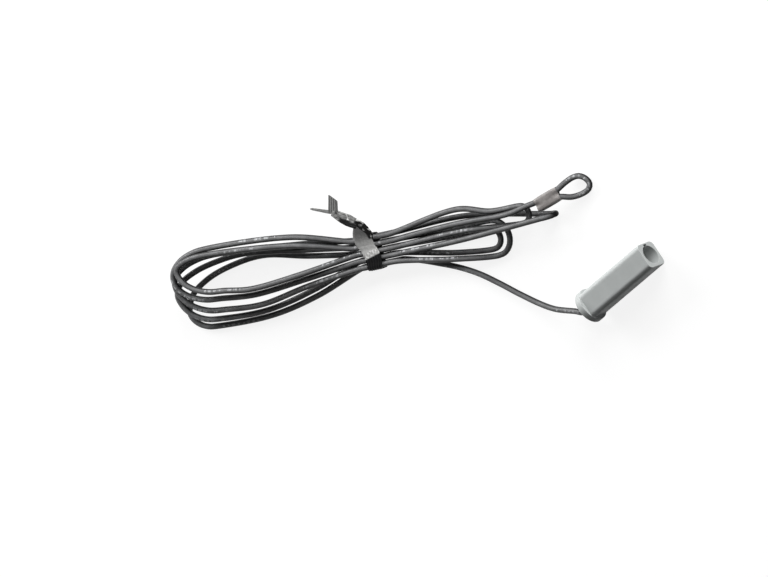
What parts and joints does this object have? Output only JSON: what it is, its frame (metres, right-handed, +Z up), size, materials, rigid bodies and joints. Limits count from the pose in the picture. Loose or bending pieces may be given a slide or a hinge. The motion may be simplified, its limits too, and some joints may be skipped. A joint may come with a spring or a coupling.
{
  "type": "wired door contact sensor",
  "caption": "Recessed wired reed contact: square grey plastic body with a round flange, open nose socket, and a dark cable tied in a hank and folded into an eye at its end",
  "frame": {"origin": "Centre of the sensor's footprint on the surface that it lies on, half way along its length and below its axis", "axes": "+X along the sensor's axis from the flange to the open nose, +Z up from the surface, +Y to the keyway side, where the hank lies"},
  "size_m": [0.3051, 0.1888, 0.025],
  "materials": {
    "housing_plastic": "satin moulded grey plastic",
    "bush_rubber": "matt black rubber",
    "cable_jacket": "satin charcoal vinyl jacket",
    "potting_resin": "black cast resin",
    "reed_glass": "clear greenish glass",
    "reed_metal": "bright nickel iron",
    "core_red": "red vinyl insulation",
    "core_white": "white vinyl insulation",
    "copper": "bare copper strands",
    "solder": "bright solder",
    "lap_sleeve": "black heat-shrink",
    "eye_sleeve": "brownish grey heat-shrink",
    "tie_plastic": "ribbed dark plastic tie with a wire core"
  },
  "bodies": {
    "sensor": {"housing": "housing_plastic", "cable_bush": "bush_rubber", "cable_tail": "cable_jacket", "resin": "potting_resin", "reed_glass": "reed_glass", "reed_lead_rear": "reed_metal", "reed_lead_front": "reed_metal", "core_rear": "core_red", "core_front": "core_white", "conductor_rear": "copper", "conductor_front": "copper", "solder_rear": "solder", "solder_front": "solder", "lap_sleeve_rear": "lap_sleeve", "lap_sleeve_front": "lap_sleeve", "cable_lead": "cable_jacket", "cable_hank": "cable_jacket", "cable_eye": "cable_jacket", "eye_sleeve": "eye_sleeve", "twist_tie": "tie_plastic"},
    "rear_blade": {"reed_blade_rear": "reed_metal"},
    "front_blade": {"reed_blade_front": "reed_metal"}
  },
  "joints": [
    {"name": "rear_blade_flex", "type": "hinge", "parent": "sensor", "child": "rear_blade", "pos_m": [-0.00916, 0, 0.00883], "axis": [0, 1, 0], "range_deg": [0, 0.62], "stiffness_Nm_per_rad": 0.0005},
    {"name": "front_blade_flex", "type": "hinge", "parent": "sensor", "child": "front_blade", "pos_m": [0.00156, 0, 0.00849], "axis": [0, 1, 0], "range_deg": [0, 0.62], "stiffness_Nm_per_rad": 0.0005}
  ],
  "couplings": [
    {"joint": "front_blade_flex", "follows": "rear_blade_flex", "ratio": 1}
  ]
}
